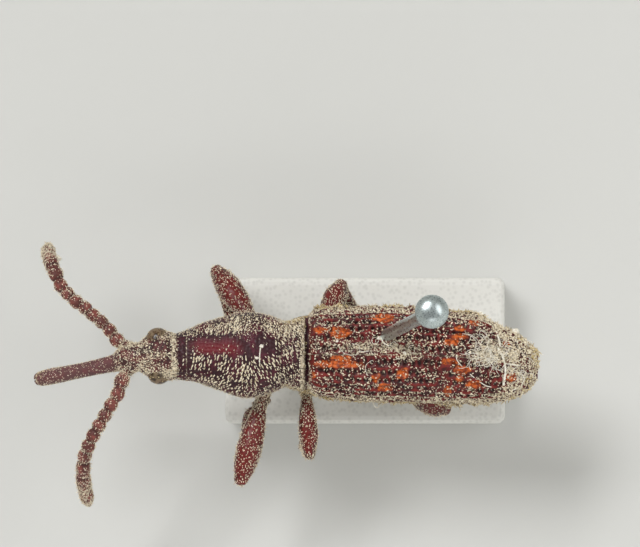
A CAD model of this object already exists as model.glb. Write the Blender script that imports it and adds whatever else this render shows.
import math

import bpy
import numpy as np
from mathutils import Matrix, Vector
from mathutils.kdtree import KDTree


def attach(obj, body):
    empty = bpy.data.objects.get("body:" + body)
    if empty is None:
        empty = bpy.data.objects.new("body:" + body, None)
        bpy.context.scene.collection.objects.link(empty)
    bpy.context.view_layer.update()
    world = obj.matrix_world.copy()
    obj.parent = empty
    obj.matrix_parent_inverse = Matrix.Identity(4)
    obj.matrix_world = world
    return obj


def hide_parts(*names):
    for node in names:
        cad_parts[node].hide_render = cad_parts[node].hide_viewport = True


# A dried, dusty straight-snouted weevil on its pin, dressed over the frame. A skin covers each
# run of solids, and grains grow over the skins as meshes.
# Every size is in millimetres until an object is made. +X runs from the snout to the tail,
# +Y to the beetle's right and +Z up.

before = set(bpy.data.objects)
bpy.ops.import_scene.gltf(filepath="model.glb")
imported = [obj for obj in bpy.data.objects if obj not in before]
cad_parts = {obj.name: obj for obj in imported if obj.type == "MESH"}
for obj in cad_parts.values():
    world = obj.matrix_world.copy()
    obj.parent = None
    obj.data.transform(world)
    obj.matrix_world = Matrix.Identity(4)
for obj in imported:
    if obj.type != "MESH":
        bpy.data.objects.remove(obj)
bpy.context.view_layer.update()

MM = 0.001
BODY = "root"

# The body's sizes follow those of the solids, with a few rows set closer to the photo.
# Body rows: x, top, bottom, right edge, left edge
HEAD_ROWS = (
    (-7.30, 7.06, 6.30, 0.30, -0.46),
    (-7.15, 7.17, 6.19, 0.40, -0.56),
    (-6.95, 7.24, 6.13, 0.56, -0.68),
    (-6.65, 7.35, 6.08, 0.70, -0.80),
    (-6.35, 7.42, 6.02, 0.73, -0.83),
    (-6.02, 7.30, 5.92, 0.62, -0.79),
    (-5.75, 7.16, 5.98, 0.54, -0.70),
)
PROTHORAX_ROWS = (
    (-6.00, 7.25, 5.81, 0.66, -0.81),
    (-5.60, 7.38, 5.64, 0.79, -0.85),
    (-5.30, 7.43, 5.56, 0.94, -0.92),
    (-4.65, 7.57, 5.33, 1.14, -1.15),
    (-3.95, 7.62, 5.22, 1.32, -1.38),
    (-3.30, 7.56, 5.20, 1.26, -1.33),
    (-2.82, 7.47, 5.26, 1.12, -1.15),
    (-2.60, 7.32, 5.34, 1.01, -1.05),
    (-2.35, 7.36, 5.32, 1.06, -1.10),
    (-2.05, 7.24, 5.30, 1.14, -1.17),
    (-1.95, 7.08, 5.40, 1.06, -1.08),
)
WAIST_ROWS = (
    (-2.30, 6.90, 5.34, 1.00, -1.02),
    (-1.90, 6.86, 5.32, 1.10, -1.06),
    (-1.50, 6.90, 5.32, 1.02, -1.04),
)
BODY_EXPONENT = 2.25

# The snout: x, y, z of its axis, then its width and height
ROSTRUM_ROWS = (
    (-7.05, -0.07, 6.70, 0.84, 0.90),
    (-7.25, -0.09, 6.69, 0.90, 0.94),
    (-7.50, -0.13, 6.66, 0.94, 0.80),
    (-7.75, -0.22, 6.56, 0.76, 0.62),
    (-7.98, -0.29, 6.46, 0.54, 0.47),
    (-8.90, -0.50, 6.10, 0.47, 0.43),
    (-9.50, -0.63, 5.83, 0.48, 0.46),
    (-10.00, -0.73, 5.60, 0.51, 0.50),
    (-10.38, -0.81, 5.45, 0.47, 0.44),
)
EYE_CENTRES = {"right": (-6.60, 0.50, 6.83), "left": (-6.56, -0.62, 6.83)}
EYE_RADII = (0.36, 0.33, 0.38)

# The middle of each antennal bead, from the root to the tip, with the bead's width
ANTENNAE = {
    "right": (
        (-7.52, 0.20, 6.66, 0.40), (-7.90, 0.44, 6.52, 0.46), (-8.15, 0.76, 6.36, 0.42),
        (-8.41, 1.01, 6.23, 0.42), (-8.69, 1.23, 6.10, 0.42), (-8.94, 1.45, 5.98, 0.43),
        (-9.23, 1.64, 5.85, 0.43), (-9.51, 1.90, 5.70, 0.44), (-9.73, 2.15, 5.62, 0.44),
        (-9.90, 2.50, 5.48, 0.46), (-10.08, 2.88, 5.18, 0.47), (-10.21, 3.22, 4.64, 0.46),
    ),
    "left": (
        (-7.46, -0.40, 6.68, 0.40), (-7.74, -0.85, 6.66, 0.48), (-7.87, -1.26, 6.66, 0.44),
        (-8.09, -1.61, 6.60, 0.43), (-8.28, -1.94, 6.53, 0.43), (-8.47, -2.27, 6.45, 0.44),
        (-8.66, -2.59, 6.36, 0.44), (-8.82, -2.92, 6.25, 0.44), (-8.94, -3.22, 6.08, 0.45),
        (-9.01, -3.60, 5.78, 0.47), (-9.04, -4.08, 5.32, 0.48), (-8.97, -4.61, 4.80, 0.46),
    ),
}
ANTENNA_TIPS = {"right": (-10.25, 3.42, 4.12), "left": (-8.94, -4.84, 4.50)}
BEAD_NECK = 0.60
CLUB_NECK = 0.84

# The hind body: x, top, wing case's lower edge, underside, right, left, middle
HIND_ROWS = (
    (-1.84, 7.14, 5.74, 5.30, 1.18, -1.06, 0.00),
    (-1.70, 7.38, 5.73, 5.28, 1.34, -1.22, 0.00),
    (-1.45, 7.50, 5.72, 5.26, 1.41, -1.34, 0.00),
    (-0.80, 7.59, 5.71, 5.18, 1.44, -1.40, 0.00),
    (0.20, 7.66, 5.70, 5.10, 1.48, -1.49, 0.00),
    (1.20, 7.67, 5.69, 5.12, 1.44, -1.50, 0.00),
    (2.20, 7.64, 5.68, 5.13, 1.36, -1.53, -0.03),
    (3.10, 7.58, 5.69, 5.12, 1.28, -1.57, -0.09),
    (3.70, 7.46, 5.71, 5.18, 1.15, -1.57, -0.15),
    (4.20, 7.22, 5.75, 5.50, 0.88, -1.49, -0.24),
    (4.70, 6.85, 5.82, 5.64, 0.62, -1.36, -0.33),
    (5.10, 6.46, 5.90, 5.74, 0.38, -1.14, -0.38),
    (5.42, 6.10, 5.97, 5.86, 0.02, -0.82, -0.40),
)
ELYTRON_EXPONENT = 2.5
ELYTRON_EDGE_ANGLE = math.radians(-20)
ELYTRON_FRONT = -1.84
ELYTRON_END = 5.42
# Orange marks and shine start behind the front lip, between these two places
ELYTRON_LIP = (ELYTRON_FRONT + 0.05, ELYTRON_FRONT + 0.16)
# The wing case's grooves: how many, how deep, and the pits along them
STRIAE = 9
STRIA_DEPTH = 0.03
PUNCTURE_SPACING = 0.215
PUNCTURE_DEPTH = 0.085
PUNCTURE_RADIUS = 0.070

# Each leg's coxa, hip, knee, ankle and toe, and the width and height of its femur
LEGS = {
    "fore_left": (
        (-3.34, -0.86, 5.18), (-3.33, -1.45, 5.16), (-4.00, -4.02, 5.18),
        (-3.72, -2.05, 4.12), (-2.78, -0.80, 3.98), 0.80, 0.88,
    ),
    "fore_right": (
        (-3.50, 0.72, 5.20), (-3.62, 1.00, 4.95), (-4.80, 2.58, 3.78),
        (-4.20, 0.80, 3.64), (-2.80, 0.35, 3.96), 0.82, 0.92,
    ),
    "mid_left": (
        (-1.78, -0.85, 5.12), (-1.93, -1.22, 5.22), (-1.82, -3.22, 5.22),
        (-1.92, -3.02, 3.56), (-1.93, -3.00, 2.52), 0.60, 0.70,
    ),
    "mid_right": (
        (-1.50, 0.70, 5.05), (-1.38, 0.95, 5.02), (-0.82, 2.14, 4.18),
        (-0.40, 1.22, 3.18), (0.62, 0.88, 2.94), 0.76, 0.82,
    ),
    "hind_left": (
        (1.15, -0.85, 5.05), (1.34, -1.30, 5.06), (2.52, -1.82, 4.04),
        (1.00, -1.20, 3.24), (-0.22, -0.90, 2.88), 0.78, 0.84,
    ),
    "hind_right": (
        (1.05, 0.80, 5.05), (1.16, 0.90, 4.95), (1.93, 1.02, 3.98),
        (0.55, -0.24, 3.40), (-0.58, -0.70, 3.42), 0.72, 0.80,
    ),
}
CRUSTED_THIGHS = ("hind_right",)
# The coxa's thickness in radii, along it from 0 to 1. Its root lies this far up in the body
COXA_RADIUS = 0.36
COXA_SHAPE = ((0.0, 1.95), (0.5, 1.75), (1.0, 1.25))
COXA_ROOT = (0.16, 1.7)
# Along the limb from 0 to 1, and the share of its full thickness there
FEMUR_SHAPE = (
    (0.0, 0.50), (0.14, 0.56), (0.35, 0.84), (0.55, 0.98), (0.70, 1.00), (0.86, 0.84), (1.0, 0.58),
)
TIBIA_SHAPE = ((0.0, 0.84), (0.2, 0.86), (0.6, 0.98), (0.9, 1.08), (1.0, 1.02))
TARSUS_SHAPE = (
    (0.0, 0.66), (0.10, 0.88), (0.17, 0.62), (0.25, 0.94), (0.33, 0.66), (0.42, 1.10),
    (0.51, 1.00), (0.57, 0.50), (0.76, 0.56), (0.93, 0.78), (1.0, 0.70),
)
SHIN_THICKNESS = 0.45
# A curved point: how far ahead, out and across, and the share of its full thickness there
CLAW_SHAPE = (
    (-0.25, 0.05, 0.0, 1.0), (0.15, 0.28, 0.05, 0.95), (0.45, 0.50, 0.32, 0.68),
    (0.48, 0.58, 0.80, 0.26),
)
CLAW_SIZE = 0.32
CLAW_THICKNESS = 0.12
CLAW_BENDS = {"fore": (0.3, 0.0, 1.0), "mid": (-1.0, 0.0, 0.3), "hind": (0.0, 0.0, -1.0)}
JAW_SHAPE = (
    (-0.60, 0.40, 0.0, 1.0), (0.10, 0.62, 0.0, 0.90), (0.50, 0.48, 0.0, 0.62),
    (0.75, 0.20, 0.0, 0.30),
)
JAW_SIZE = 0.20
JAW_THICKNESS = 0.17

# The pin
PIN_RADIUS = 0.2
PIN_ENTRY = Vector((0.63, 0.63, 7.64))
PIN_LEAN = Vector((math.tan(math.radians(9.5)), math.tan(math.radians(6.5)), 1.0))
PIN_HEAD_HEIGHT = 14.6
PIN_HEAD_RADII = (0.5, 0.5, 0.3)
# Each stretch that shows, with its lower and upper height: the foam's top is at 2.0
PIN_STRETCHES = (("above", 7.3, PIN_HEAD_HEIGHT, "pin_upper"), ("below", 1.7, 5.3, "pin_lower"))

# The torn film of crust between the hind thighs: x, y, z, then its thickness and its breadth
FILM_ROWS = (
    (1.25, -0.10, 5.05, 0.16, 0.62), (1.55, -0.15, 4.70, 0.12, 0.50),
    (1.85, -0.20, 4.35, 0.12, 0.52), (2.10, -0.25, 4.08, 0.12, 0.60),
    (2.25, -0.28, 3.92, 0.10, 0.36),
)
# The cone of crust round the pin under the body: height and width
CONE_ROWS = ((5.5, 1.7), (5.15, 1.35), (4.85, 0.95), (4.55, 0.66), (4.35, 0.50), (4.2, 0.44))

# What a skin tells its material at each point
SURFACE_VALUES = ("dust", "pit", "mark", "crust", "bare")

# Orange marks on the wing cases: x, y, half length, half width
ORANGE_MARKS = (
    (-1.46, 0.76, 0.28, 0.10), (-0.88, 0.69, 0.36, 0.19), (0.47, 1.14, 0.33, 0.15),
    (2.91, 0.82, 0.20, 0.10), (2.90, 0.57, 0.30, 0.10), (2.61, 0.39, 0.28, 0.11),
    (3.38, 0.99, 0.20, 0.10), (4.39, 0.36, 0.13, 0.10),
    (-0.82, -0.08, 0.36, 0.09), (-0.86, -0.29, 0.90, 0.13), (-1.74, -0.62, 0.14, 0.11),
    (0.28, -0.73, 0.15, 0.15), (0.54, -1.02, 0.27, 0.13), (1.09, -0.59, 0.21, 0.18),
    (2.56, -0.21, 0.27, 0.11), (2.94, -0.47, 0.28, 0.14), (2.87, -0.76, 0.15, 0.10),
    (3.33, -0.95, 0.25, 0.13), (2.51, -1.16, 0.14, 0.15), (4.56, -0.73, 0.22, 0.16),
)

# Loose threads: the width, then x, y and z along each. Without a z it lies on the back
THREADS = (
    (0.060, ((3.98, 0.92), (4.07, 0.68), (4.13, 0.48), (4.17, 0.28))),
    (0.066, ((4.11, 0.19), (4.23, -0.03), (4.33, -0.35), (4.33, -0.66), (4.28, -0.94))),
    (0.030, (
        (3.25, 0.28), (2.90, 0.15), (2.78, -0.09), (2.94, -0.35), (3.32, -0.70), (3.73, -0.98),
        (4.20, -1.07),
    )),
    (0.028, ((4.80, -0.50), (4.95, -0.80), (4.80, -1.05), (4.55, -1.15))),
    (0.030, ((3.90, 0.70), (3.60, 0.42), (3.45, 0.10), (3.75, -0.15))),
    (0.045, ((0.42, 0.55), (0.50, 0.38), (0.66, 0.28))),
    (0.040, ((-3.35, 0.20), (-3.37, 0.02), (-3.38, -0.22))),
    (0.040, ((0.18, -1.52, 6.35), (0.26, -1.68, 6.30), (0.36, -1.70, 6.28), (0.38, -1.58, 6.30))),
    (0.028, (
        (4.31, -0.30, 7.12), (4.42, -0.30, 7.24), (4.53, -0.32, 7.25), (4.69, -0.34, 7.15),
        (4.76, -0.36, 6.96), (4.66, -0.38, 6.82),
    )),
    (0.026, ((-0.26, 0.10, 7.94), (-0.12, 0.10, 7.84), (0.05, 0.12, 7.66))),
    (0.030, ((0.90, -0.10, 7.64), (0.94, -0.12, 7.77), (1.02, -0.12, 7.76))),
)
# Patches of fine hairs: x, y, reach in x and in y, and how many
HAIR_PATCHES = (
    (3.80, 0.08, 0.34, 0.24, 44), (4.75, -0.30, 0.30, 0.45, 22), (0.0, 0.25, 0.8, 0.3, 7),
)
HAIR_WIDTH = 0.016
HAIR_STEP = 0.075
HAIR_STEPS = 9
# White flecks: the radius, then x, y and z. Without a z it lies on the back
FLECKS = (
    (0.07, (-3.32, 0.26)), (0.14, (3.57, 1.22, 6.42)), (0.17, (4.68, 0.68, 6.20)),
    (0.12, (-9.90, 3.02, 4.74)), (0.06, (1.16, 0.05)), (0.06, (-3.46, -0.10)),
    (0.07, (0.36, 0.52)), (0.05, (-0.95, 0.42)),
)

# Each cuticle: its finish's name, its dark and red, its pits' colour, how rough it is where bare,
# the size of its blotches in mm, and its colour where it is rubbed
CUTICLES = {
    # Greyer and duller than the back, with dust worked into it
    "head": ("head_cuticle", "#3e1f20", "#653030", "#1c0f0f", 0.42, 0.3, "#6c4748"),
    # The darkest, nearly black round its rubbed crimson stripe
    "pronotum": ("pronotum_cuticle", "#35121a", "#501a28", "#14070a", 0.40, 0.5, "#66131c"),
    # Dark red, in fine blotches, with glossy rubbed ribs between black pits
    "elytron": ("wing_case_cuticle", "#421717", "#641f1e", "#0d0505", 0.36, 0.17, "#7c2420"),
    # Brown-black and matt under its crust
    "underside": ("crusted_underside", "#2e1a18", "#4a2823", "#140c0a", 0.55),
    # Warm red-brown, the glossiest where the thighs are rubbed
    "leg": ("leg_cuticle", "#3f1514", "#6b2620", "#1c0a0a", 0.32, 0.2, "#741e1b"),
    # Paler red-brown beads
    "antenna": ("feeler_cuticle", "#62342f", "#874840", "#351b19", 0.45, 0.3),
}
# Each kind of grain and thread: its finish's name, its pale and its deep colour
CHALKY_FINISHES = {
    # Cream scales that catch the light one by one
    "scale": ("dry_cream_scales", "#f2e9d2", "#b5a283"),
    # Greyer dust, which sits back between the scales
    "dust": ("dried_dust_grains", "#e4d9c0", "#8c7a62"),
    # Yellower, crumbling crust
    "tan": ("tan_crust_grains", "#e2cf9c", "#8f7642"),
    # The whitest thing on the specimen
    "thread": ("white_threads", "#f4f0e6", "#d3cbba"),
}

# The coats' rows and grains. Real dust grains are finer than this; their clumps are drawn as
# coarse as a picture shows. A patch is the share of the unwrap that one grain takes.
PRONOTUM_SCALES = 0.118
ROW_WANDER = 0.9
DUST_GRAIN = 0.06
DUST_CLUMP = 0.10
COAT_PATCH = 0.003

# Each light: where it comes from, how many degrees it spreads, and its strength
LIGHTS = (
    ("key", (-60, 70, 95), 30, 4.2), ("rim", (75, 25, 70), 50, 1.7),
    ("fill", (10, -95, 50), 60, 1.7),
)
# The table's profile from its middle out: radius and height
TABLE_PROFILE = (
    (0, 0), (250, 0), (380, 8), (480, 40), (560, 110), (610, 220), (640, 420), (650, 700),
)

# The photo's lower view, 640 pixels wide, shows 31.65 of them to the millimetre
PHOTO_WIDTH = 640
PIXELS_PER_MM = 31.65
LENS = 200.0
SENSOR = 36.0
VIEW_CENTRE = (-1.485, 2.54)
BACK_HEIGHT = 6.5


def curve(rows, steps):
    """Points of one smooth curve through the rows, with this many steps between each two."""
    rows = np.array(rows, float)
    ends = np.vstack([2 * rows[0] - rows[1], rows, 2 * rows[-1] - rows[-2]])
    points = []
    for before, start, end, after in zip(ends, ends[1:], ends[2:], ends[3:]):
        for step in range(steps):
            t = step / steps
            linear = (end - before) * t
            square = (2 * before - 5 * start + 4 * end - after) * t**2
            cube = (3 * start - before - 3 * end + after) * t**3
            points.append(start + (linear + square + cube) / 2)
    return np.array([*points, rows[-1]])


def lengths_along(points):
    """How far along its line each point lies."""
    return np.concatenate([[0], np.cumsum(np.linalg.norm(np.diff(points, axis=0), axis=1))])


def angles(sides):
    """Even angles once round a ring."""
    return 2 * np.pi * np.arange(sides) / sides


def even_rows(rows, spacing, places=3):
    """The rows of a smooth curve this far apart, measured over their first few columns."""
    dense = curve(rows, 12)
    length = lengths_along(dense[:, :places])
    count = max(round(length[-1] / spacing), 4) + 1
    at = np.linspace(0, length[-1], count)
    return np.stack([np.interp(at, length, column) for column in dense.T], axis=1)


def squarer(values, exponent):
    """Sines or cosines turned into those of a squarer curve, with their signs kept."""
    return np.sign(values) * np.abs(values) ** (2 / exponent)


def smooth_step(values, low, high):
    """0 below the low value, 1 above the high one, with a soft turn between them."""
    share = np.clip((values - low) / (high - low), 0, 1)
    return share * share * (3 - 2 * share)


def ridge(values, middle, width):
    """1 where the values are at the middle, and falling away over about this width."""
    return np.exp(-(((values - middle) / width) ** 2))


def lumps(points, size, seed):
    """Smooth random values from -1 to 1 at the points, in lumps of about this size."""
    scaled = points / size + 500.0
    cell = np.floor(scaled).astype(np.int64)
    part = scaled - cell
    part = part * part * (3 - 2 * part)
    total = np.zeros(points.shape[:-1])
    for corner in np.ndindex(2, 2, 2):
        x, y, z = (cell[..., k] + corner[k] for k in range(3))
        mixed = (x * 73856093) ^ (y * 19349663) ^ (z * 83492791) ^ (seed * 97531)
        mixed = (mixed ^ (mixed >> 13)) * 1274126177 & 0x7FFFFFFF
        value = ((mixed ^ (mixed >> 15)) & 0xFFFF) / 32767.5 - 1
        for k in range(3):
            value = value * (part[..., k] if corner[k] else 1 - part[..., k])
        total += value
    return total


def rough(points, size, seed, layers=3):
    """Lumps with finer lumps on them."""
    return sum(lumps(points, size / 2**k, seed + k) / 2**k for k in range(layers))


class Skin:
    """A closed surface laid out as rings along a piece, with named values at its points."""

    def __init__(self, grid):
        self.grid = np.asarray(grid, float)
        self.find_out()
        self.values = {}

    def find_out(self):
        """The way out at each point, and the way along."""
        around = np.roll(self.grid, -1, axis=1) - np.roll(self.grid, 1, axis=1)
        along = np.gradient(self.grid, axis=0)
        out = np.cross(around, along)
        self.out = out / np.maximum(np.linalg.norm(out, axis=2, keepdims=True), 1e-12)
        self.along = along / np.maximum(np.linalg.norm(along, axis=2, keepdims=True), 1e-12)

    def push(self, amount):
        """Moves each point out by its own amount."""
        self.grid = self.grid + self.out * np.asarray(amount)[..., None]
        self.find_out()

    def sample(self, field, s, t):
        """The field's values at places counted in rings and in points round a ring."""
        rings, sides = self.grid.shape[:2]
        low = np.clip(s.astype(int), 0, rings - 2)
        left = t.astype(int) % sides
        right = (left + 1) % sides
        shape = (-1,) + (1,) * (field.ndim - 2)
        down = (s - low).reshape(shape)
        over = (t % 1).reshape(shape)
        near = field[low, left] * (1 - over) + field[low, right] * over
        far = field[low + 1, left] * (1 - over) + field[low + 1, right] * over
        return near * (1 - down) + far * down


def body_skin(rows, spacing, sides, exponent=BODY_EXPONENT):
    """A skin across the body from rows of x, top, bottom, right edge and left edge."""
    x, top, bottom, right, left = even_rows(rows, spacing, 1).T[:, :, None]
    angle = angles(sides)
    y = (right + left) / 2 + squarer(np.cos(angle), exponent) * (right - left) / 2
    z = (top + bottom) / 2 + squarer(np.sin(angle), exponent) * (top - bottom) / 2
    return Skin(np.stack([x + 0 * y, y, z], axis=2))


def limb_skin(rows, spacing, sides, blunt=0.5):
    """A skin along rows of x, y, z, width and height, with domed ends."""
    rows = even_rows(rows, spacing)
    ways = np.gradient(rows[:, :3], axis=0)
    ways /= np.linalg.norm(ways, axis=1, keepdims=True)
    domes = []
    for row, way, sign in ((rows[0], ways[0], -1), (rows[-1], ways[-1], 1)):
        for angle in np.radians([18, 38, 58, 76, 87]):
            tip = row.copy()
            tip[:3] += way * sign * math.sin(angle) * min(row[3], row[4]) * blunt
            tip[3:] *= math.cos(angle)
            domes.append((tip, way))
    sections = [*domes[4::-1], *zip(rows, ways), *domes[5:]]
    side = Vector(ways[0]).cross(Vector((0, 0, 1))).normalized()
    angle = angles(sides)
    rings = []
    for row, way in sections:
        way = Vector(way)
        side = (side - way * side.dot(way)).normalized()
        lift = way.cross(side)
        ring = np.outer(np.cos(angle), side) * row[3] / 2
        ring += np.outer(np.sin(angle), lift) * row[4] / 2
        rings.append(row[:3] + ring)
    return Skin(rings)


def ball_skin(centre, radii, sides):
    """An ellipsoid as a skin."""
    rings = []
    angle = angles(sides)
    for height in np.radians(np.linspace(-88, 88, sides // 2)):
        across = np.stack([np.cos(angle), np.sin(angle)], axis=1) * math.cos(height)
        ring = np.column_stack([across, np.full(sides, -math.sin(height))])
        rings.append(np.array(centre) + ring * radii)
    return Skin(rings)


def linked(obj):
    """The object, put in the scene."""
    bpy.context.collection.objects.link(obj)
    return obj


def mesh_object(name, points, faces, values=None):
    """A mesh object at the origin from points in millimetres, with its values as attributes.

    Each value is a number or a vector for every point.
    """
    mesh = bpy.data.meshes.new(name)
    mesh.from_pydata((np.asarray(points) * MM).tolist(), [], [list(face) for face in faces])
    for key, value in (values or {}).items():
        kind, field = ("FLOAT", "value") if np.ndim(value) == 1 else ("FLOAT_VECTOR", "vector")
        layer = mesh.attributes.new(key, kind, "POINT")
        layer.data.foreach_set(field, np.asarray(value, np.float32).ravel())
    mesh.shade_smooth()
    return linked(bpy.data.objects.new(name, mesh))


def skins_object(name, skins, look):
    """One object from several closed skins, each capped at both ends."""
    points, faces, values = [], [], {}
    start = 0
    for skin in skins:
        rings, sides = skin.grid.shape[:2]
        index = start + np.arange(rings * sides).reshape(rings, sides)
        beside = np.roll(index, -1, axis=1)
        quads = np.stack([index[:-1], beside[:-1], beside[1:], index[1:]], axis=2)
        faces += quads.reshape(-1, 4).tolist()
        faces.append(index[0][::-1].tolist())
        faces.append(index[-1].tolist())
        points.append(skin.grid.reshape(-1, 3))
        for key in SURFACE_VALUES:
            field = skin.values.get(key, np.zeros((rings, sides)))
            values.setdefault(key, []).append(field.ravel())
        start += rings * sides
    joined = {key: np.concatenate(parts) for key, parts in values.items()}
    obj = mesh_object(name, np.vstack(points), faces, joined)
    obj.data.materials.append(look)
    return obj


def finish_piece(obj, slot, *nodes):
    """Makes a piece move with the body, stand for its nodes and take its slot."""
    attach(obj, BODY)
    if nodes:
        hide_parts(*nodes)


# Materials

def linear(code):
    """A colour from its sRGB hex code, as the linear values that shaders take."""
    parts = [int(code[k:k + 2], 16) / 255 for k in (1, 3, 5)]
    return tuple(p / 12.92 if p <= 0.04045 else ((p + 0.055) / 1.055) ** 2.4 for p in parts) + (1.0,)


def connect(tree, node, sockets):
    """Sets each socket to a value or a hex colour, or links it to a socket or a node's first output."""
    for key, value in sockets.items():
        if isinstance(value, bpy.types.Node):
            value = value.outputs[0]
        if isinstance(value, bpy.types.NodeSocket):
            tree.links.new(value, node.inputs[key])
        elif isinstance(value, str) and value.startswith("#"):
            node.inputs[key].default_value = linear(value)
        else:
            node.inputs[key].default_value = value


def add(tree, kind, sockets=None, **settings):
    """Adds one node with its settings, values and links."""
    node = tree.nodes.new(kind)
    for key, value in settings.items():
        setattr(node, key, value)
    connect(tree, node, sockets or {})
    return node


def new_finish(name, **sockets):
    """A material of this name, with its shader's own sockets set, and its tree and shader."""
    made = bpy.data.materials.new(name)
    made.use_nodes = True
    shader = made.node_tree.nodes["Principled BSDF"]
    for key, value in sockets.items():
        shader.inputs[key.replace("_", " ")].default_value = value
    return made, made.node_tree, shader


def speckles(tree, size, detail=2.0):
    """A pattern over the piece's own coordinates, in lumps of about this size in millimetres."""
    place = add(tree, "ShaderNodeTexCoord").outputs["Object"]
    sockets = {"Vector": place, "Scale": 1 / (size * MM), "Detail": detail, "Roughness": 0.6}
    return add(tree, "ShaderNodeTexNoise", sockets)


def layered(tree, colour, *layers):
    """A colour with others laid over it, each with its cover from 0 to 1, its ends and its colour.

    Where a cover has ends, it turns smoothly from 0 at the first to 1 at the second. Two more
    ends are what it turns from and to.
    """
    for cover, ends, over in layers:
        if ends:
            sockets = dict(enumerate((cover, *ends)))
            cover = add(tree, "ShaderNodeMapRange", sockets, interpolation_type="SMOOTHSTEP")
        sockets = {0: cover, 6: colour, 7: over}
        colour = add(tree, "ShaderNodeMix", sockets, data_type="RGBA").outputs[2]
    return colour


def finished(made, tree, shader, colour, cover=None, ends=(), bump=None):
    """Gives a material its colour, its roughness by a cover from 0 to 1, and its bump."""
    connect(tree, shader, {"Base Color": colour})
    if cover:
        sockets = dict(enumerate((cover, *ends)))
        rough_share = add(tree, "ShaderNodeMapRange", sockets, interpolation_type="SMOOTHSTEP")
        connect(tree, shader, {"Roughness": rough_share})
    if bump:
        connect(tree, shader, {"Normal": add(tree, "ShaderNodeBump", bump)})
    return made


def dusty_cuticle(name, dark, red, pit_colour, gloss, blotch=0.5, rubbed="#5e141d"):
    """Dried cuticle: glossy and dark red where it is bare, matt cream where dust lies on it."""
    made, tree, shader = new_finish(name, Specular_IOR_Level=0.28)
    field = {
        key: add(tree, "ShaderNodeAttribute", attribute_name=key).outputs["Fac"]
        for key in SURFACE_VALUES
    }
    fine = speckles(tree, DUST_GRAIN, 3.0)
    clumps = speckles(tree, DUST_CLUMP, 3.0)
    orange = layered(tree, "#742c12", (clumps, (0.38, 0.62), "#cc6426"))
    bare = layered(
        tree, dark, (speckles(tree, blotch), (0.44, 0.58), red),
        (fine, (0.4, 0.7, 0.0, 0.45), pit_colour), (field["bare"], None, rubbed),
        (field["mark"], None, orange), (field["pit"], None, pit_colour),
    )
    wander = add(tree, "ShaderNodeMath", {0: fine, 1: 0.5}, operation="SUBTRACT")
    wander = add(tree, "ShaderNodeMath", {0: wander, 1: 1.5}, operation="MULTIPLY")
    cover = add(tree, "ShaderNodeMath", {0: field["dust"], 1: wander}, operation="ADD")
    sockets = {0: cover, 1: 0.46, 2: 0.64}
    cover = add(tree, "ShaderNodeMapRange", sockets, interpolation_type="SMOOTHSTEP")
    cream = layered(tree, "#4a3a30", (clumps, (0.40, 0.58), "#d8ccb4"))
    tan = layered(tree, "#3d2e1d", (clumps, (0.40, 0.58), "#b89f6a"))
    dust = layered(tree, cream, (field["crust"], None, tan))
    colour = layered(tree, bare, (cover, None, dust))
    bump = {"Strength": 0.6, "Distance": 0.012 * MM, "Height": fine}
    return finished(made, tree, shader, colour, cover, (0.0, 1.0, gloss, 0.9), bump)


def scale_finish(name, pale, deep):
    """Dried scales and dust grains: chalky, and no two of quite the same cream."""
    made, tree, shader = new_finish(name, Roughness=0.6)
    colour = layered(tree, deep, (speckles(tree, 0.06), (0.36, 0.62), pale))
    return finished(made, tree, shader, colour)


def eye_finish():
    """The dried eye: brown and glassy, with its facets in the mesh, under a film of dust."""
    made, tree, shader = new_finish("glassy_eye_cuticle")
    patches = speckles(tree, 0.16, 3.0)
    sockets = {0: patches, 1: 0.36, 2: 0.74}
    film = add(tree, "ShaderNodeMapRange", sockets, interpolation_type="SMOOTHSTEP")
    browns = (speckles(tree, 0.3), (0.4, 0.6), "#4c321e")
    colour = layered(tree, "#24150d", browns, (film, None, "#7d694c"))
    return finished(made, tree, shader, colour, film, (0.0, 1.0, 0.18, 0.6))


def steel_finish():
    """Drawn steel wire: fine lines along it, and a little dulled with age."""
    made, tree, shader = new_finish("drawn_steel_wire", Metallic=1.0)
    place = add(tree, "ShaderNodeTexCoord").outputs["Object"]
    scale = (1 / (0.05 * MM), 1 / (0.05 * MM), 1 / (1.5 * MM))
    drawn = add(tree, "ShaderNodeMapping", {"Vector": place, "Scale": scale})
    lines = add(tree, "ShaderNodeTexNoise", {"Vector": drawn, "Scale": 1.0})
    colour = layered(tree, "#a3adae", (lines, (0.35, 0.65), "#b9c2c2"))
    return finished(made, tree, shader, colour, lines, (0.35, 0.65, 0.27, 0.32))


def foam_finish():
    """Closed-cell foam: off-white and matt, with cells of about 0.15 mm."""
    made, tree, shader = new_finish("closed_cell_foam", Roughness=0.92)
    place = add(tree, "ShaderNodeTexCoord").outputs["Object"]
    cells = add(tree, "ShaderNodeTexVoronoi", {"Vector": place, "Scale": 1 / (0.15 * MM)})
    colour = layered(tree, "#cdccc7", (cells.outputs["Distance"], (0.1, 0.6), "#d8d7d2"))
    bump = {"Strength": 0.35, "Distance": 0.01 * MM, "Height": cells.outputs["Distance"]}
    return finished(made, tree, shader, colour, bump=bump)


# The coat of scales and dust

# Each kind of grain: the node that makes it, with its sizes and settings
GRAINS = {
    "scales": ("GeometryNodeMeshIcoSphere", {"Radius": 0.5, "Subdivisions": 1}, {}),
    "dust": ("GeometryNodeMeshUVSphere", {"Segments": 4, "Rings": 2, "Radius": 0.5}, {}),
    "bristles": (
        "GeometryNodeMeshCone",
        {"Vertices": 3, "Radius Top": 0.12, "Radius Bottom": 0.5, "Depth": 1.0},
        {"fill_type": "NONE"},
    ),
}


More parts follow.
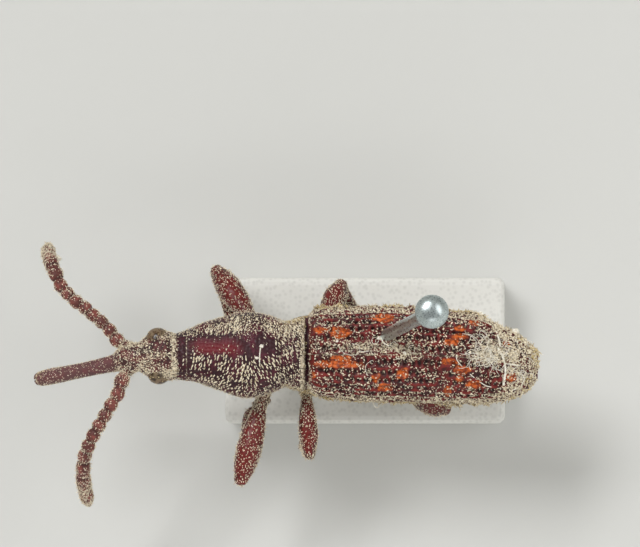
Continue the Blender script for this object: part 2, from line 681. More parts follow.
def coat_tree(grain):
    """One grain on every root, turned the root's way, each with its own patch of the unwrap."""
    tree = bpy.data.node_groups.new("coat_of_" + grain, "GeometryNodeTree")
    kinds = {"Roots": "Geometry", "Seed": "Int", "Finish": "Material"}
    sizes = ("Length", "Width", "Height", "Unevenness", "Disorder", "Patch")
    for name in ("Roots", *sizes, "Seed", "Finish"):
        kind = "NodeSocket" + kinds.get(name, "Float")
        tree.interface.new_socket(name, in_out="INPUT", socket_type=kind)
    tree.interface.new_socket("Coat", in_out="OUTPUT", socket_type="NodeSocketGeometry")
    given = add(tree, "NodeGroupInput").outputs
    kind, sockets, settings = GRAINS[grain]
    shape = add(tree, kind, sockets, **settings)
    own = {}
    for name in ("size", "out", "along", "unwrap", "patch"):
        kind = "FLOAT" if name == "size" else "FLOAT_VECTOR"
        own[name] = add(tree, "GeometryNodeInputNamedAttribute", {"Name": name}, data_type=kind)

    # Each point of the grain keeps its place in it, for the patch of the unwrap
    sockets = {"Geometry": shape, "Name": "patch", "Value": add(tree, "GeometryNodeInputPosition")}
    marked = add(tree, "GeometryNodeStoreNamedAttribute", sockets, data_type="FLOAT_VECTOR")

    # The ways out and along stray at random, by the disorder
    ways = []
    for name, shift in (("out", 1), ("along", 2)):
        seed = add(tree, "ShaderNodeMath", {0: given["Seed"], 1: shift}, operation="ADD")
        sockets = {0: (-1.0, -1.0, -1.0), 1: (1.0, 1.0, 1.0), "Seed": seed}
        stray = add(tree, "FunctionNodeRandomValue", sockets, data_type="FLOAT_VECTOR")
        sockets = {0: stray, "Scale": given["Disorder"]}
        stray = add(tree, "ShaderNodeVectorMath", sockets, operation="SCALE")
        ways.append(add(tree, "ShaderNodeVectorMath", {0: own[name], 1: stray}, operation="ADD"))
    sockets = {"Primary Axis": ways[0], "Secondary Axis": ways[1]}
    turn = add(tree, "FunctionNodeAxesToRotation", sockets)

    # Each grain's size is uneven by chance, times its root's own share
    sockets = {0: given["Length"], 1: given["Width"], 2: given["Height"]}
    size = add(tree, "ShaderNodeCombineXYZ", sockets)
    least, most = (
        add(tree, "ShaderNodeMath", {0: 1.0, 1: given["Unevenness"]}, operation=operation)
        for operation in ("SUBTRACT", "ADD")
    )
    sockets = {2: least, 3: most, "Seed": given["Seed"]}
    share = add(tree, "FunctionNodeRandomValue", sockets, data_type="FLOAT").outputs[1]
    share = add(tree, "ShaderNodeMath", {0: share, 1: own["size"]}, operation="MULTIPLY")
    size = add(tree, "ShaderNodeVectorMath", {0: size, "Scale": share}, operation="SCALE")

    sockets = {"Points": given["Roots"], "Instance": marked, "Rotation": turn, "Scale": size}
    grains = add(tree, "GeometryNodeInstanceOnPoints", sockets)
    whole = add(tree, "GeometryNodeRealizeInstances", {"Geometry": grains})
    sockets = {0: own["patch"], "Scale": given["Patch"]}
    spread = add(tree, "ShaderNodeVectorMath", sockets, operation="SCALE")
    place = add(tree, "ShaderNodeVectorMath", {0: own["unwrap"], 1: spread}, operation="ADD")
    sockets = {"Geometry": whole, "Name": "OFBake", "Value": place}
    settings = {"data_type": "FLOAT2", "domain": "CORNER"}
    mapped = add(tree, "GeometryNodeStoreNamedAttribute", sockets, **settings)
    sockets = {"Geometry": mapped, "Material": given["Finish"]}
    add(tree, "NodeGroupOutput", {0: add(tree, "GeometryNodeSetMaterial", sockets)})
    return tree


def roots_on(skin, spacing, jitter, chance, draws):
    """Roots in staggered rows round a skin, kept by chance, counted in rings and points."""
    rings, sides = skin.grid.shape[:2]
    steps = np.linalg.norm(np.diff(skin.grid, axis=0), axis=2).mean(axis=1)
    length = np.concatenate([[0], np.cumsum(steps)])
    last = rings - 1
    every_s, every_t = [], []
    for row, place in enumerate(np.arange(spacing / 2, length[-1], spacing)):
        s = np.interp(place, length, np.arange(rings))
        ring = skin.grid[min(round(s), last)]
        girth = lengths_along(np.vstack([ring, ring[:1]]))
        count = int(girth[-1] / spacing)
        if count < 3:
            continue
        share = (np.arange(count) + row % 2 / 2 + draws.normal(0, jitter, count)) / count % 1
        t = np.interp(share * girth[-1], girth, np.arange(sides + 1)) % sides
        here = skin.sample(skin.grid, np.full(count, s), t)
        shift = (draws.normal(0, jitter, count) + lumps(here, 0.5, 7) * ROW_WANDER) * spacing
        every_s.append(np.clip(np.interp(place + shift, length, np.arange(rings)), 0, last))
        every_t.append(t)
    s, t = np.concatenate(every_s), np.concatenate(every_t)
    kept = draws.random(len(s)) < skin.sample(chance, s, t)
    return s[kept], t[kept]


def coat(
    name, skins, grain, finish, spacing, jitter, size, chance, seed, lift=0.0, lean=None, **inputs
):
    """A coat of grains over skins, each length, width and height in millimetres.

    Their rows lie the spacing apart, and the jitter is a share of it. The chance says how many
    are kept at each point. The lean is the angle from the way along the piece to the way the
    grains lie. The inputs are more of the tree's own, by name.
    """
    draws = np.random.default_rng(seed)
    places, outs, alongs, sizes, unwraps = [], [], [], [], []
    for strip, skin in enumerate(skins):
        s, t = roots_on(skin, spacing, jitter, chance(skin), draws)
        rings, sides = skin.grid.shape[:2]
        out = skin.sample(skin.out, s, t)
        places.append(skin.sample(skin.grid, s, t) + out * lift)
        outs.append(out)
        angle = (lean(skin) if lean else np.zeros((rings, sides)))[..., None]
        side = np.cross(skin.out, skin.along)
        alongs.append(skin.sample(skin.along * np.cos(angle) + side * np.sin(angle), s, t))
        grain_size = skin.values.get("grain", np.ones((rings, sides)))
        sizes.append(draws.uniform(0.8, 1.2, len(s)) * skin.sample(grain_size, s, t))
        unwraps.append(np.column_stack([s / rings, (strip + t / sides) / len(skins), 0 * s]))
    values = {"size": np.concatenate(sizes)}
    for key, parts in (("out", outs), ("along", alongs), ("unwrap", unwraps)):
        values[key] = np.vstack(parts)
    base = mesh_object(name + "_roots", np.vstack(places), [], values)
    tree = coat_tree(grain)
    settings = {
        "Length": size[0] * MM, "Width": size[1] * MM, "Height": size[2] * MM,
        "Unevenness": 0.25, "Disorder": 0.35, "Patch": COAT_PATCH, "Seed": seed,
        "Finish": finish, **inputs,
    }
    modifier = base.modifiers.new("coat", "NODES")
    modifier.node_group = tree
    for item in tree.interface.items_tree:
        if item.in_out == "INPUT" and item.name in settings:
            modifier[item.identifier] = settings[item.name]
    graph = bpy.context.evaluated_depsgraph_get()
    mesh = bpy.data.meshes.new_from_object(base.evaluated_get(graph))
    bpy.data.objects.remove(base, do_unlink=True)
    for key in (*values, "patch"):
        if key in mesh.attributes:
            mesh.attributes.remove(mesh.attributes[key])
    finish_piece(linked(bpy.data.objects.new(name, mesh)), "cuticle")


# The body's surfaces

def side_dust(skin, bare_above=0.92, full_below=0.35, least=0.12, most=0.8):
    """Dust lies thick on the sides and thin on the rubbed top."""
    share = 1 - smooth_step(skin.out[..., 2], full_below, bare_above)
    patches = rough(skin.grid, 0.6, 31) * 0.14
    return np.clip(least + (most - least) * share + patches, 0, 0.9)


def low_crust(skin, high=6.7, low=5.9):
    """Tan crust takes over from cream dust towards the underside."""
    share = 1 - smooth_step(skin.grid[..., 2], low, high)
    return np.clip(share + lumps(skin.grid, 0.5, 8) * 0.3, 0, 1)


def spot(skin, x, y, length, width):
    """1 in the middle of a soft patch seen from above, and 0 well outside it."""
    across = ((skin.grid[..., 0] - x) / length) ** 2 + ((skin.grid[..., 1] - y) / width) ** 2
    return np.exp(-across)


def nearest(points):
    """A tree that finds the nearest of these points."""
    tree = KDTree(len(points))
    for k, point in enumerate(points):
        tree.insert(point, k)
    tree.balance()
    return tree


def pits(skin, spacing, radius, depth, seed):
    """Presses a small pit at each of many staggered places, and returns its share at each point."""
    draws = np.random.default_rng(seed)
    s, t = roots_on(skin, spacing, 0.16, np.ones(skin.grid.shape[:2]), draws)
    tree = nearest(skin.sample(skin.grid, s, t))
    flat = skin.grid.reshape(-1, 3)
    near = np.array([tree.find(point)[2] for point in flat]).reshape(skin.grid.shape[:2])
    share = ridge(near, 0, radius)
    skin.push(-depth * share)
    return share


def hooks(root, way, bend, shape, size, thickness):
    """A pair of small curved points on either side of the way, such as a leg's claws."""
    bend = Vector(bend)
    bend = (bend - way * bend.dot(way)).normalized()
    side = way.cross(bend)
    pieces = []
    for sign in (-1, 1):
        rows = []
        for ahead, out, across, share in shape:
            point = root + (way * ahead + side * (out * sign) + bend * across) * size
            rows.append((*point, share * thickness, share * thickness))
        pieces.append(limb_skin(rows, 0.03, 16))
    return pieces


def make_head(looks):
    """The head and the snout as one dusty piece, with the two jaws at the tip."""
    head = body_skin(HEAD_ROWS, 0.022, 150)
    top = smooth_step(head.out[..., 2], 0.2, 0.7)
    bare = spot(head, -6.45, 0.25, 0.32, 0.20) + spot(head, -6.35, -0.25, 0.30, 0.18)
    bare = (bare + spot(head, -7.20, 0.02, 0.22, 0.16)) * top
    ring = ridge(head.grid[..., 0], -6.10, 0.09)
    pit = pits(head, 0.13, 0.042, 0.035, 3)
    hollow = spot(head, -7.13, 0.08, 0.07, 0.07) * 0.10 * top
    head.push(rough(head.grid, 0.12, 5) * 0.014 - hollow)
    dust = 0.32 + 0.30 * top - 0.50 * bare + 0.30 * ring + rough(head.grid, 0.4, 32) * 0.18
    head.values.update(dust=np.clip(dust, 0.1, 0.85), pit=pit * 0.8)
    snout = limb_skin(ROSTRUM_ROWS, 0.025, 72, blunt=0.35)
    snout.push(rough(snout.grid, 0.09, 6) * 0.007)
    x = snout.grid[..., 0]
    base = smooth_step(x, -8.15, -7.75)
    tip = 1 - smooth_step(x, -10.5, -10.2)
    dust = side_dust(snout, 0.85, 0.3, 0.22, 0.46) + base * 0.20 + tip * 0.30
    snout.values.update(dust=np.clip(dust, 0, 0.85), bare=0.6 * (1 - base), grain=0.65 + 0.35 * base)
    for skin in (head, snout):
        skin.values["crust"] = low_crust(skin, 6.4, 5.7) * 0.6
    end = Vector(ROSTRUM_ROWS[-1][:3])
    way = (end - Vector(ROSTRUM_ROWS[-3][:3])).normalized()
    jaws = hooks(end + way * 0.08, way, (0, 0, 1), JAW_SHAPE, JAW_SIZE, JAW_THICKNESS)
    obj = skins_object("head_and_snout", [head, snout, *jaws], looks["head"])
    finish_piece(obj, "cuticle", "head", "rostrum")
    return [head, snout]


def make_eyes(looks):
    """Two bulging eyes, with a low dome for each facet."""
    domes = []
    for side, centre in EYE_CENTRES.items():
        skin = ball_skin(centre, EYE_RADII, 120)
        rings, sides = skin.grid.shape[:2]
        s, t = np.meshgrid(np.arange(rings), np.arange(sides), indexing="ij")
        facet = np.cos(2 * np.pi * s / 5) * np.cos(2 * np.pi * (t / 5 + s // 5 % 2 / 2))
        skin.push(facet * 0.003)
        obj = skins_object("eye_dome_" + side, [skin], looks["eye"])
        finish_piece(obj, "eye", "eye_" + side)
        domes.append(skin)
    return domes


def make_prothorax(looks):
    """The pronotum: rows of scale pits on either side of a rubbed dark red stripe."""
    skin = body_skin(PROTHORAX_ROWS, 0.024, 280)
    x, y, z = np.moveaxis(skin.grid, 2, 0)
    up = skin.out[..., 2]
    top = smooth_step(up, 0.3, 0.7)
    edge = rough(skin.grid, 0.35, 15) * 0.14
    stripe = smooth_step(x + edge, -5.60, -5.25) * (1 - smooth_step(x + edge, -3.1, -2.75))
    stripe *= smooth_step(y + edge, -0.14, 0.00) * (1 - smooth_step(y + edge, 0.54, 0.76)) * top
    collar = (1 - smooth_step(x, -5.62, -5.50)) * top
    line = ridge(x, -5.67, 0.028)
    lips = ridge(x, -2.05, 0.06) + line
    groove = ridge(x, -2.70, 0.07)
    rear = smooth_step(x, -2.95, -2.55)
    ripples = np.sin((x - 0.10 * (y / 1.1) ** 2) * 2 * np.pi / 0.14) * rear * (1 - lips) * top
    skin.push(lips * 0.025 - groove * 0.045 * top + ripples * 0.010)
    calm = np.clip(stripe + collar, 0, 1)
    pit = pits(skin, PRONOTUM_SCALES, 0.042, 0.03, 4)
    skin.push(rough(skin.grid, 0.10, 16) * 0.010 * (1 - 0.6 * calm))
    flank = (1 - smooth_step(up, 0.20, 0.65)) * smooth_step(up, -0.75, -0.1)
    dust = 0.12 + 0.10 * flank + 0.30 * smooth_step(y, 0.45, 0.85) * top
    dust += lips * 0.7 + rear * (0.14 + 0.25 * (1 - top)) + ripples * 0.2
    dust += rough(skin.grid, 0.5, 17) * 0.16
    right = smooth_step(y, 0.42, 0.75)
    fine = 0.06 + 0.78 * right * top + 0.22 * flank + 0.38 * rear + 0.8 * (lips - line)
    fine = np.clip(fine + rough(skin.grid, 0.3, 19) * 0.15, 0.10, 0.9)
    fine *= (1 - 0.25 * stripe) * (1 - 0.9 * collar)
    crimson = stripe * (1 - smooth_step(x, -4.3, -3.7)) * ridge(y, 0.20, 0.24)
    rubbed = 0.6 * (1 - top) * smooth_step(lumps(skin.grid, 0.5, 24), 0.0, 0.4)
    flaky = 0.8 * rear * (1 - top) * smooth_step(rough(skin.grid, 0.3, 25), -0.7, 0.5)
    gaps = smooth_step(lumps(skin.grid, 0.28, 20), -0.62, -0.42)
    skin.values.update(
        dust=np.maximum(np.clip(dust, 0, 0.88) * (1 - 0.92 * calm), line * 0.8 * top),
        pit=pit * 0.8 * (1 - calm), bare=np.maximum(crimson, rubbed), fine=fine,
        crust=np.maximum(low_crust(skin, 6.3, 5.4) * 0.5, flaky),
        scaly=0.95 * (1 - 0.96 * calm) * (1 - 0.6 * rear) * gaps * (1 - 0.55 * right * top),
        grain=(1 - 0.28 * (1 - top)) * (1 - 0.35 * stripe),
    )
    waist = body_skin(WAIST_ROWS, 0.03, 120)
    flank = 1 - smooth_step(waist.out[..., 2], 0.15, 0.55)
    waist.push(rough(waist.grid, 0.25, 18) * 0.03 + flank * 0.09)
    waist.values.update(dust=0.08 + 0.6 * flank, crust=0.7 * flank)
    obj = skins_object("pronotum", [skin, waist], looks["pronotum"])
    finish_piece(obj, "cuticle", "prothorax")
    return skin


def elytron_skin(side):
    """One wing case, out from the middle line over its back and in along its underside."""
    rows = even_rows(HIND_ROWS, 0.026, 1)
    x, top, edge, _, right, left, middle = rows.T[:, :, None]
    half = right - middle if side > 0 else middle - left
    dip = squarer(np.sin(-ELYTRON_EDGE_ANGLE), ELYTRON_EXPONENT)
    waist = (edge + dip * top) / (1 + dip)
    share = np.linspace(0, 1, 150)
    angle = math.pi / 2 + (ELYTRON_EDGE_ANGLE - math.pi / 2) * share
    across = np.maximum(squarer(np.cos(angle), ELYTRON_EXPONENT) * half, 0.012)
    up = waist + squarer(np.sin(angle), ELYTRON_EXPONENT) * (top - waist)
    inner = np.linspace(0.9, 0.0, 8)
    inner_across = np.maximum(inner * (half - 0.25), 0.012)
    inner_up = edge + 0.02 + 0 * inner_across
    y = middle + side * np.concatenate([across, inner_across], axis=1)
    z = np.concatenate([up, inner_up], axis=1)
    grid = np.stack([x + 0 * y, y, z], axis=2)
    shares = np.concatenate([share, np.full(8, -1.0)])
    if side > 0:
        grid = grid[:, ::-1]
        shares = shares[::-1]
    return Skin(grid), shares


def mark_field(skin):
    """How orange each point is."""
    x, y, _ = np.moveaxis(skin.grid, 2, 0)
    wander = rough(skin.grid, 0.14, 51)
    field = np.zeros_like(x)
    for centre_x, centre_y, half_length, half_width in ORANGE_MARKS:
        reach = np.hypot((x - centre_x) / half_length, (y - centre_y) / half_width)
        field = np.maximum(field, 1 - smooth_step(reach + wander * 0.3, 0.75, 1.15))
    return field


def make_elytra(looks):
    """Two wing cases with punctured grooves, transverse wrinkles and orange marks."""
    skins = []
    for name, side in (("right", 1), ("left", -1)):
        skin, shares = elytron_skin(side)
        x = skin.grid[..., 0]
        phase = shares[None, :] * (STRIAE + 0.5)
        outer = (shares >= 0)[None, :] & (x > ELYTRON_FRONT + 0.04)
        ends = np.clip(np.minimum((x - ELYTRON_FRONT) / 0.4, (ELYTRON_END - x) / 1.2 + 0.1), 0, 1)
        groove = np.sin(np.pi * phase) ** 2
        stria = np.floor(phase)
        along = x / PUNCTURE_SPACING + stria * 0.37 + lumps(skin.grid, 0.5, 61) * 0.25
        dent = np.abs(along % 1 - 0.5) * PUNCTURE_SPACING / PUNCTURE_RADIUS
        dent = np.exp(-(dent**2) - ((phase % 1 - 0.5) / 0.30) ** 2)
        dent *= smooth_step(lumps(skin.grid, 0.35, 64), -0.8, -0.2)
        shiny = smooth_step(lumps(skin.grid, 0.16, 68) - 0.4 * dent, 0.02, 0.28)
        skin.push(-(groove * STRIA_DEPTH + dent * PUNCTURE_DEPTH) * ends * outer)
        skin.push(rough(skin.grid, 0.16, 62) * 0.018 * ends)
        mark = mark_field(skin) * smooth_step(skin.out[..., 2], 0.15, 0.45)
        mark *= smooth_step(x, *ELYTRON_LIP)
        x, y, z = np.moveaxis(skin.grid, 2, 0)
        flank = 1 - smooth_step(z, 6.70, 7.02)
        rear = smooth_step(x + 0.6 * flank, 4.0, 4.8)
        band = flank * smooth_step(z, 5.80, 6.10) * smooth_step(rough(skin.grid, 0.45, 66), -0.6, 0.5)
        band *= 1 - 0.4 * rear
        edge = ridge(z, 6.92, 0.14) * smooth_step(x, -1.7, -1.2)
        dust = 0.17 + 0.12 * flank * (1 - rear) + 0.36 * band + 0.02 * rear + 0.20 * edge
        middle = 0.45 * spot(skin, 0.1, 0.27, 1.7, 0.22) + 0.25 * spot(skin, 1.6, 0.0, 0.9, 0.25)
        middle += 0.9 * spot(skin, 3.85, -0.02, 0.55, 0.36)
        dust += middle
        dust += rough(skin.grid, 0.45, 63) * (0.14 + 0.10 * rear)
        dust = np.clip(dust, 0.03, 0.86) * (1 - 0.95 * mark)
        skin.push(band * (0.02 + np.abs(rough(skin.grid, 0.20, 67)) * 0.09))
        pit = np.clip(dent * 1.1, 0, 0.9) * outer * ends * (1 - 0.5 * rear)
        pit = pit * (1 - mark) * (1 - band)
        shiny *= (1 - 0.75 * rear) * (1 - pit) * (1 - band) * (1 - np.clip(middle * 1.5, 0, 0.8))
        shiny *= (1 - 0.85 * flank) * smooth_step(x, *ELYTRON_LIP)
        scaly = 0.43 + 0.34 * rear + 0.5 * middle + 0.4 * edge + lumps(skin.grid, 0.13, 65) * 0.4
        scaly = np.clip(scaly, 0, 0.95) * (1 - 0.7 * shiny) * (1 - 0.7 * pit) * (1 - 0.65 * mark)
        skin.values.update(
            dust=dust * (1 - 0.8 * shiny), pit=pit, mark=mark, bare=shiny * 0.85,
            crust=band * (1 - smooth_step(z, 6.45, 6.80)), scaly=scaly,
            grain=1 + 0.42 * rear + 0.25 * edge + 0.3 * np.clip(middle, 0, 1),
        )
        obj = skins_object("wing_case_" + name, [skin], looks["elytron"])
        finish_piece(obj, "cuticle", "elytron_" + name)
        skins.append(skin)
    return skins


def make_venter(looks):
    """The crusted underside of the hind body."""
    rows = even_rows(HIND_ROWS, 0.045, 1)
    x, top, edge, bottom, right, left, middle = rows.T[:, :, None]
    angle = angles(120)
    tuck = 0.96
    half = np.where(np.cos(angle) > 0, right - middle, middle - left) * tuck
    rise = np.where(np.sin(angle) > 0, 0.25, edge - bottom)
    y = middle + squarer(np.cos(angle), BODY_EXPONENT) * half
    z = edge - 0.02 + squarer(np.sin(angle), BODY_EXPONENT) * rise
    skin = Skin(np.stack([x + 0 * y, y, np.minimum(z, top - 0.1)], axis=2))
    skin.push(rough(skin.grid, 0.35, 71, 4) * 0.045)
    patches = smooth_step(rough(skin.grid, 0.45, 72), -0.35, 0.45)
    skin.push(patches * 0.02)
    skin.values.update(dust=0.18 + 0.46 * patches, crust=patches)
    obj = skins_object("underside", [skin], looks["underside"])
    finish_piece(obj, "cuticle", "thorax", "abdomen")
    return skin


def tapered(start, end, shape, width, height):
    """Rows along a straight limb, each as thick as the shape says."""
    rows = []
    for share, size in shape:
        point = Vector(start).lerp(Vector(end), share)
        rows.append((*point, width * size, height * size))
    return rows


def make_leg(name, joints, looks):
    """A whole leg as one piece: coxa, thigh, shin, foot and claws, sunk into each other."""
    coxa, hip, knee, ankle, toe, width, height = joints
    pair = name.split("_")[0]
    seed = 80 + list(LEGS).index(name) * 5
    rise, thick = COXA_ROOT
    rows = [(*(Vector(coxa) + Vector((0, 0, rise))), thick * COXA_RADIUS, thick * COXA_RADIUS)]
    rows += tapered(coxa, hip, COXA_SHAPE, COXA_RADIUS, COXA_RADIUS)
    short = limb_skin(rows, 0.035, 48)
    femur = limb_skin(tapered(hip, knee, FEMUR_SHAPE, width, height), 0.035, 64)
    thickness = (SHIN_THICKNESS, SHIN_THICKNESS)
    tibia = limb_skin(tapered(knee, ankle, TIBIA_SHAPE, *thickness), 0.035, 44)
    tarsus = limb_skin(tapered(ankle, toe, TARSUS_SHAPE, *thickness), 0.028, 40)
    skins = [short, femur, tibia, tarsus]
    for k, skin in enumerate(skins):
        skin.values["pit"] = pits(skin, 0.10, 0.03, 0.014, seed + k) * 0.6
        skin.push(rough(skin.grid, 0.12, seed + k) * 0.010)
        skin.values["dust"] = np.clip(0.25 + rough(skin.grid, 0.4, seed + k) * 0.14, 0.05, 0.8)
        skin.values["crust"] = np.full(skin.grid.shape[:2], 0.2)
    rubbed = smooth_step(femur.out[..., 2] + lumps(femur.grid, 0.3, seed + 9) * 0.3, 0.25, 0.9)
    root = ridge(np.linalg.norm(femur.grid - np.array(hip), axis=2), 0, 0.55)
    femur.values["bare"] = rubbed * 0.75 * (1 - root)
    femur.values["dust"] = np.clip(femur.values["dust"] - rubbed * 0.08 + root * 0.42, 0, 0.88)
    if name in CRUSTED_THIGHS:
        femur.values["dust"] += 0.32
        femur.values["crust"] += 0.7
    short.push(rough(short.grid, 0.22, seed + 8) * 0.045)
    short.values["dust"] = np.clip(0.48 + rough(short.grid, 0.3, seed + 7) * 0.25, 0, 0.8)
    short.values["crust"] = np.full(short.grid.shape[:2], 0.7)
    way = (Vector(toe) - Vector(ankle)).normalized()
    claws = hooks(Vector(toe), way, CLAW_BENDS[pair], CLAW_SHAPE, CLAW_SIZE, CLAW_THICKNESS)
    obj = skins_object("leg_" + name, [*skins, *claws], looks["leg"])
    nodes = [f"leg_{name}_{part}" for part in ("coxa", "femur", "tibia", "tarsus")]
    finish_piece(obj, "cuticle", *nodes)
    return skins


def make_antenna(side, looks):
    """A feeler of twelve barrel-shaped beads on a thinner stalk."""
    beads = ANTENNAE[side]
    rows = [(*bead[:3], bead[3], bead[3]) for bead in beads]
    tip = ANTENNA_TIPS[side]
    width = beads[-1][3]
    rows.append((*tip, width * 0.55, width * 0.55))
    even = even_rows(rows, 0.022)
    length = lengths_along(even[:, :3])
    middles = [length[np.argmin(np.linalg.norm(even[:, :3] - bead[:3], axis=1))] for bead in beads]
    phase = np.interp(length, middles, np.arange(len(middles)))
    phase[length > middles[-1]] = len(middles) - 1
    bulge = np.abs(np.cos(np.pi * phase)) ** 0.6
    neck = BEAD_NECK + (CLUB_NECK - BEAD_NECK) * smooth_step(phase, 8.5, 9.5)
    even[:, 3:] *= (neck + (1 - neck) * bulge)[:, None]
    skin = limb_skin(even, 0.022, 40)
    pit = pits(skin, 0.09, 0.028, 0.010, 41) * 0.5
    skin.push(rough(skin.grid, 0.10, 42) * 0.008)
    share = np.linspace(0, 1, skin.grid.shape[0])[:, None]
    club = smooth_step(share, 0.70, 0.85)
    neck = 1 - np.interp(share, np.linspace(0, 1, len(bulge)), bulge)
    root = 1 - smooth_step(share, 0.05, 0.12)
    flat = np.linalg.norm(skin.out[..., :2], axis=2)
    dust = 0.10 + 0.16 * club + 0.3 * root + 0.36 * flat**2 + rough(skin.grid, 0.3, 43) * 0.12
    joint = smooth_step(neck, 0.45, 0.85) * (1 - club)
    dust = np.clip(dust * (1 - 0.6 * joint), 0, 0.85)
    skin.values.update(pit=np.maximum(pit, 0.9 * joint), dust=dust)
    obj = skins_object("feeler_" + side, [skin], looks["antenna"])
    finish_piece(obj, "antenna", "antenna_" + side)
    return skin


def pin_at(height):
    """The middle of the pin's shaft at one height."""
    return PIN_ENTRY + PIN_LEAN * (height - PIN_ENTRY.z)


def make_pin(looks):
    """The steel pin with its turned knob, above the back and below the body."""
    for name, low, high, node in PIN_STRETCHES:
        rows = [(*pin_at(z), PIN_RADIUS * 2, PIN_RADIUS * 2) for z in np.linspace(low, high, 6)]
        skins = [limb_skin(rows, 0.08, 48, blunt=0.1)]
        if high == PIN_HEAD_HEIGHT:
            skins.append(ball_skin(pin_at(high), PIN_HEAD_RADII, 64))
        finish_piece(skins_object("pin_" + name, skins, looks["steel"]), "pin", node)


def make_base(looks):
    """The foam block is the solid itself, in its own finish."""
    materials = bpy.data.objects["stand_base"].data.materials
    materials.clear()
    materials.append(looks["foam"])


def make_residue(looks):
    """Old tan crust round the pin under the body, with a lump of it and a torn film beside."""
    rows = [(*pin_at(height), width, width) for height, width in CONE_ROWS]
    cone = limb_skin(rows, 0.03, 80, blunt=0.1)
    lump = ball_skin((1.05, 0.10, 5.02), (0.60, 0.45, 0.56), 70)
    film = limb_skin(FILM_ROWS, 0.03, 60)
    for skin in (cone, lump, film):
        skin.push(rough(skin.grid, 0.26, 91, 4) * 0.08)
        dust = 0.52 + rough(skin.grid, 0.3, 92) * 0.2
        skin.values.update(dust=dust, crust=np.ones_like(dust))
    obj = skins_object("residue", [cone, lump, film], looks["underside"])
    finish_piece(obj, "cuticle")
    return [cone, lump, film]


def lay_on(skins):
    """A way to find how high the top of these skins is over a place."""
    tops = np.vstack([skin.grid[skin.out[..., 2] > 0.15] for skin in skins])
    tree = nearest(tops * (1, 1, 0))
    return lambda x, y: tops[tree.find((x, y, 0))[1]][2]


def make_threads(pronotum, elytra, looks):
    """Loose white threads and flecks that lie on the back, and a few that stand clear of it."""
    height = lay_on([pronotum, *elytra])
    draws = np.random.default_rng(31)
    pieces = []
    for width, path in THREADS:
        rows = []
        for point in path:
            place = point if len(point) == 3 else (*point, height(*point) + width * 0.6)
            rows.append((*place, width, width))
        pieces.append(limb_skin(rows, 0.05, 6))
    for middle_x, middle_y, reach_x, reach_y, count in HAIR_PATCHES:
        for _ in range(count):
            x = middle_x + draws.normal() * reach_x
            y = middle_y + draws.normal() * reach_y
            heading, bend = draws.uniform(0, 2 * math.pi), draws.normal() * 0.55
            rows = []
            for _ in range(HAIR_STEPS):
                lift = draws.uniform(0.02, 0.06)
                rows.append((x, y, height(x, y) + lift, HAIR_WIDTH, HAIR_WIDTH))
                x += math.cos(heading) * HAIR_STEP
                y += math.sin(heading) * HAIR_STEP
                heading += bend + draws.normal() * 0.25
            pieces.append(limb_skin(rows, 0.05, 5))
    finish_piece(skins_object("loose_threads", pieces, looks["thread"]), "cuticle")
    flecks = []
    for radius, point in FLECKS:
        place = point if len(point) == 3 else (*point, height(*point))
        fleck = ball_skin(place, (radius, radius * 0.8, radius * 0.8), 36)
        fleck.push(rough(fleck.grid, radius * 0.8, 93) * radius * 0.28)
        flecks.append(fleck)
    finish_piece(skins_object("white_flecks", flecks, looks["thread"]), "cuticle")


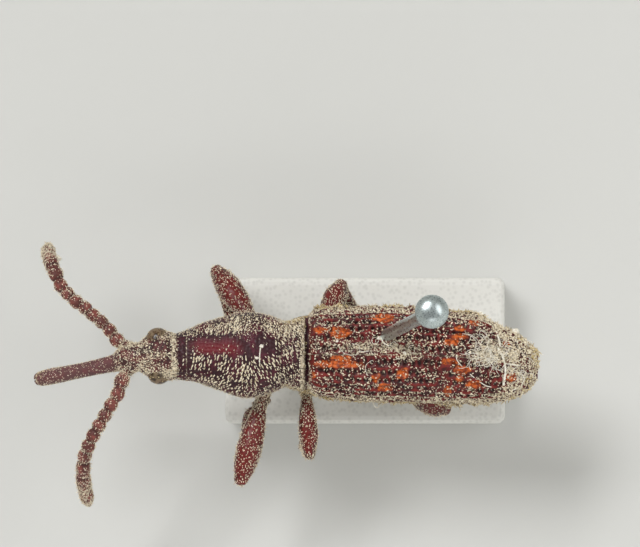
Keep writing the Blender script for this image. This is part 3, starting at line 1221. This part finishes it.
def make_coats(head_skins, eyes, pronotum, elytra, venter, legs, antennae, residue, looks):
    """Scales in rows, fine dust and short bristles over every surface."""

    def across(skin):
        """The pronotum's scales lie across it, and splay forwards and backwards of its middle."""
        turn = 0.45 * np.tanh((skin.grid[..., 0] + 3.75) / 0.35)
        return math.pi / 2 + turn + lumps(skin.grid, 0.6, 21) * 0.35

    def dusty(least, more):
        """More grains where more dust lies."""
        return lambda skin: np.clip(least + more * (skin.values["dust"] - 0.3), 0, 0.95)

    def sideways(skin):
        """Bristles on the sides, where they show against the background."""
        return 0.45 * (1 - np.abs(skin.out[..., 2]))

    coat(
        "pronotum_scales", [pronotum], "scales", looks["scale"], PRONOTUM_SCALES, 0.18,
        (0.125, 0.043, 0.045), lambda skin: skin.values["scaly"],
        11, lift=0.010, lean=across, Disorder=0.25,
    )
    coat(
        "pronotum_dust", [pronotum], "scales", looks["scale"], 0.058, 0.3, (0.066, 0.028, 0.030),
        lambda skin: skin.values["fine"], 17, lift=0.008, lean=across, Disorder=0.6,
    )
    for name, skin in zip(("right", "left"), elytra):
        coat(
            "wing_case_scales_" + name, [skin], "scales", looks["scale"], 0.058, 0.4,
            (0.068, 0.030, 0.030), lambda skin: skin.values["scaly"], 12, lift=0.008, Disorder=1.1,
            Unevenness=0.45,
        )
        coat(
            "wing_case_dust_" + name, [skin], "dust", looks["dust"], 0.055, 0.4,
            (0.05, 0.035, 0.035), dusty(0.05, 1.4), 18, lift=0.006, Disorder=1.0,
        )
    coat(
        "head_scales", head_skins, "scales", looks["scale"], 0.062, 0.3,
        (0.064, 0.030, 0.030), dusty(0.50, 1.4), 13, lift=0.006, Disorder=0.8,
    )
    coat(
        "eye_dust", eyes, "dust", looks["tan"], 0.055, 0.35, (0.055, 0.04, 0.035),
        lambda skin: 0.06 + 0.6 * np.clip(skin.out[..., 2], 0, 1), 24, Disorder=0.8,
    )
    for name, some in (("fore", legs[:8]), ("mid", legs[8:16]), ("hind", legs[16:])):
        coat(
            "leg_scales_" + name, some, "scales", looks["scale"], 0.070, 0.3,
            (0.056, 0.029, 0.028), dusty(0.72, 0.8), 14, lift=0.005, Disorder=0.7,
        )
    coat(
        "leg_dust", legs, "dust", looks["dust"], 0.06, 0.35,
        (0.046, 0.032, 0.032), dusty(0.2, 1.4), 20, lift=0.004, Disorder=1.0,
    )
    coat(
        "feeler_scales", antennae, "scales", looks["scale"], 0.055, 0.3,
        (0.046, 0.026, 0.026), dusty(0.50, 1.4), 15, lift=0.004, Disorder=0.7,
    )
    coat(
        "crust_grains", [venter, *residue], "scales", looks["tan"], 0.085, 0.4,
        (0.085, 0.05, 0.05), lambda skin: 0.15 + 0.6 * skin.values["crust"], 16, Disorder=1.0,
    )
    coat(
        "underside_scales", [venter], "scales", looks["scale"], 0.085, 0.35,
        (0.06, 0.03, 0.03), lambda skin: 0.75 - 0.5 * skin.values["crust"], 23, lift=0.006,
        Disorder=0.8,
    )
    coat(
        "crust_fibres", [pronotum, *elytra, venter, *residue], "scales", looks["tan"], 0.088, 0.5,
        (0.20, 0.022, 0.022), lambda skin: 0.8 * smooth_step(skin.values["crust"], 0.25, 1.0),
        19, lift=0.030, Disorder=1.1,
    )
    coat(
        "bristles", [*head_skins, pronotum, *elytra, *legs, *antennae], "bristles", looks["scale"],
        0.09, 0.4, (0.024, 0.024, 0.065), sideways, 22, lift=0.018, Disorder=1.0,
    )


def make_floor():
    """A plain pale table that turns up into a backdrop far behind the specimen on every side."""
    sides = 96
    points = [(0, 0, 0)]
    for radius, height in TABLE_PROFILE[1:]:
        for k in range(sides):
            angle = 2 * math.pi * k / sides
            points.append((radius * math.cos(angle), radius * math.sin(angle), height))
    faces = [(0, 1 + k, 1 + (k + 1) % sides) for k in range(sides)]
    for ring in range(len(TABLE_PROFILE) - 2):
        inner = 1 + ring * sides
        outer = inner + sides
        for k in range(sides):
            after = (k + 1) % sides
            faces.append((inner + k, outer + k, outer + after, inner + after))
    obj = mesh_object("table", points, faces)
    made, _, _ = new_finish("pale_matt_table", Roughness=0.9, Base_Color=linear("#c9c9c6"))
    obj.data.materials.append(made)


def make_lights():
    """A pale room with three broad soft lights above."""
    world = bpy.context.scene.world or bpy.data.worlds.new("room")
    bpy.context.scene.world = world
    world.use_nodes = True
    ground = world.node_tree.nodes["Background"]
    ground.inputs["Color"].default_value = linear("#e9e9e7")
    ground.inputs["Strength"].default_value = 0.45
    bpy.context.scene.view_settings.view_transform = "Standard"
    for name, place, spread, strength in LIGHTS:
        data = bpy.data.lights.new(name, "SUN")
        data.angle = math.radians(spread)
        data.energy = strength
        lamp = linked(bpy.data.objects.new(name, data))
        lamp.rotation_euler = Vector(place).to_track_quat("Z", "Y").to_euler()


def make_camera():
    """Straight down on the beetle's back, framed as the photo's lower view is."""
    data = bpy.data.cameras.new("camera")
    data.lens = LENS
    data.sensor_width = SENSOR
    data.clip_start = 0.005
    data.clip_end = 20.0
    camera = linked(bpy.data.objects.new("camera", data))
    height = BACK_HEIGHT + PHOTO_WIDTH / PIXELS_PER_MM * LENS / SENSOR
    camera.location = Vector((*VIEW_CENTRE, height)) * MM
    bpy.context.scene.camera = camera


def main():
    """Makes the finishes, the specimen and its coats, and the room they stand in."""
    looks = {key: dusty_cuticle(*values) for key, values in CUTICLES.items()}
    looks.update({key: scale_finish(*values) for key, values in CHALKY_FINISHES.items()})
    looks.update(eye=eye_finish(), steel=steel_finish(), foam=foam_finish())
    head_skins = make_head(looks)
    eyes = make_eyes(looks)
    pronotum = make_prothorax(looks)
    elytra = make_elytra(looks)
    venter = make_venter(looks)
    legs = []
    for name, joints in LEGS.items():
        legs += make_leg(name, joints, looks)
    antennae = [make_antenna(side, looks) for side in ANTENNAE]
    make_pin(looks)
    make_base(looks)
    residue = make_residue(looks)
    make_threads(pronotum, elytra, looks)
    make_coats(head_skins, eyes, pronotum, elytra, venter, legs, antennae, residue, looks)
    make_floor()
    make_lights()
    make_camera()


main()
